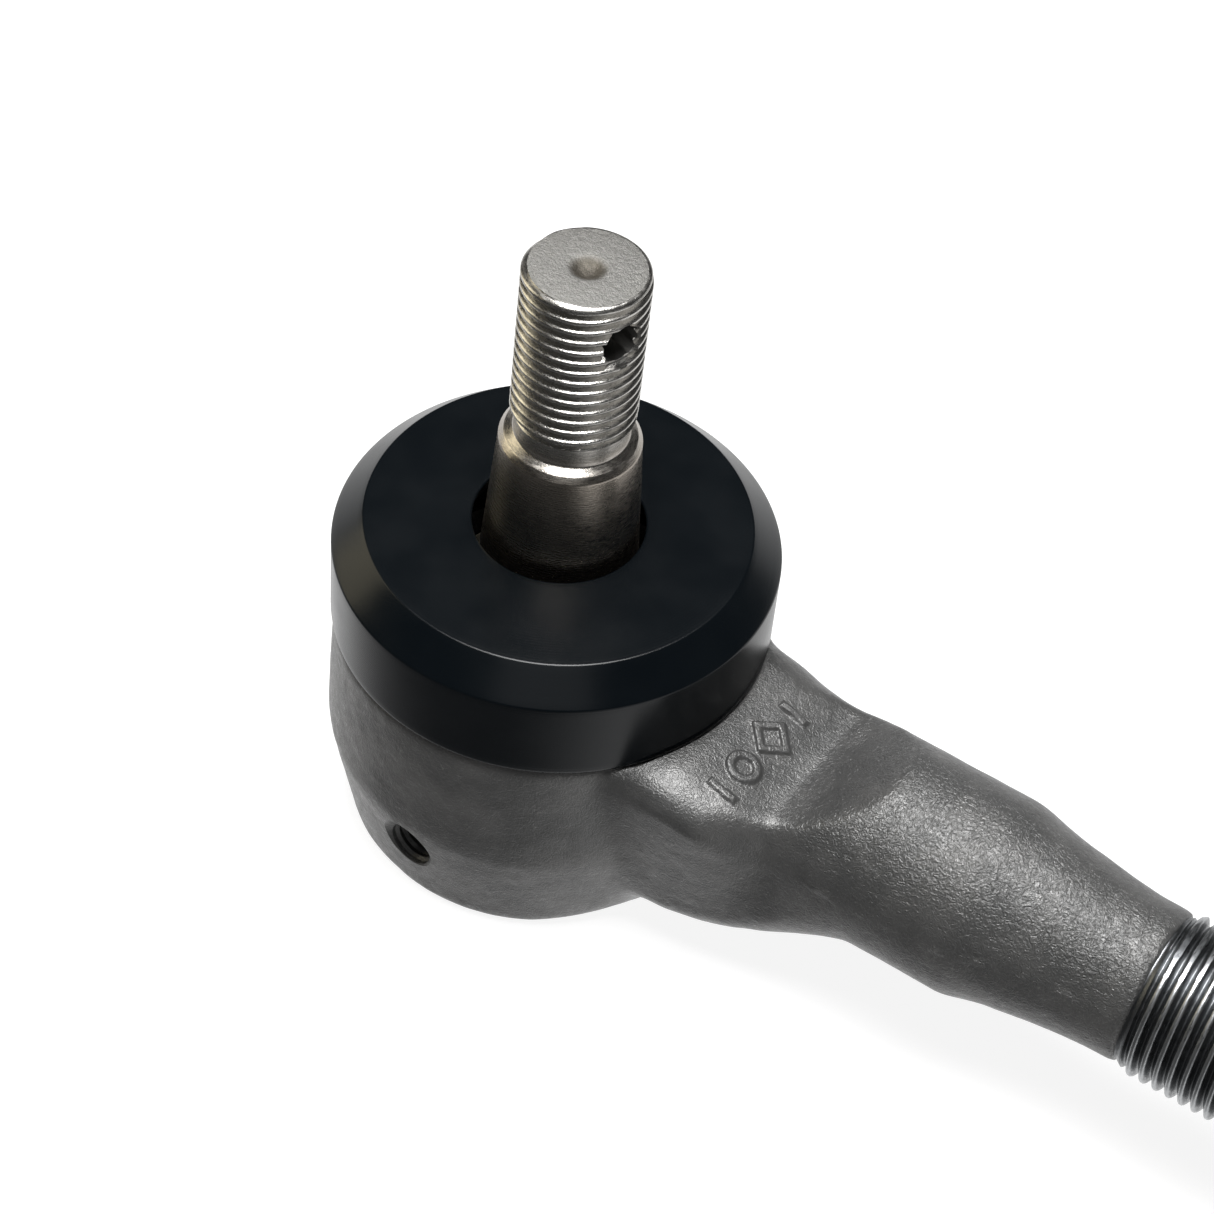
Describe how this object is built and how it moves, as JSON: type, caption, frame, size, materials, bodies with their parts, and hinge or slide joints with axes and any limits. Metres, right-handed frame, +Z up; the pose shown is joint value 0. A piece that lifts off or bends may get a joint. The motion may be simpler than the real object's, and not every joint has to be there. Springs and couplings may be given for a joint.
{
  "type": "tie rod end",
  "caption": "Forged steering tie rod end: ball socket with a threaded shank, a tapered threaded stud that swings and turns in it, and a thick black dust seal.",
  "frame": {"origin": "on the axis of the socket, on the flat middle of the end cover that closes its foot", "axes": "+X along the threaded shank, +Z up the axis of the socket, the way the stud points"},
  "size_m": [0.1401, 0.0462, 0.0737],
  "materials": {
    "forged_steel": "dark forged steel with a fine cast grain, satin, oiled",
    "turned_steel": "turned and ground steel, bright, with fine turning lines",
    "sintered_iron": "matt sintered iron, oil filled",
    "liner": "smooth natural acetal",
    "pressed_steel": "pressed sheet steel, phosphated",
    "spring_steel": "oil-tempered spring wire",
    "seal_rubber": "satin black moulded rubber"
  },
  "bodies": {
    "socket": {"socket_housing": "forged_steel", "upper_bearing": "liner", "spring_washer": "pressed_steel", "preload_spring": "spring_steel", "end_cover": "pressed_steel"},
    "bearing_and_seal": {"lower_bearing": "sintered_iron", "dust_seal": "seal_rubber"},
    "half_ball": {"half_ball": "sintered_iron"},
    "stud": {"ball_stud": "turned_steel"}
  },
  "joints": [
    {"name": "bearing_turn", "type": "hinge", "parent": "socket", "child": "bearing_and_seal", "pos_m": [0, 0, 0.02049], "axis": [0, 0, 1], "continuous": true},
    {"name": "stud_swing", "type": "hinge", "parent": "bearing_and_seal", "child": "half_ball", "pos_m": [0, 0, 0.02049], "axis": [1, 0, 0], "range_deg": [-18.4, 21.6], "deforming": ["dust_seal"]},
    {"name": "stud_spin", "type": "hinge", "parent": "half_ball", "child": "stud", "pos_m": [0, 0, 0.02049], "axis": [0, 0.0279, 0.9996], "continuous": true}
  ]
}
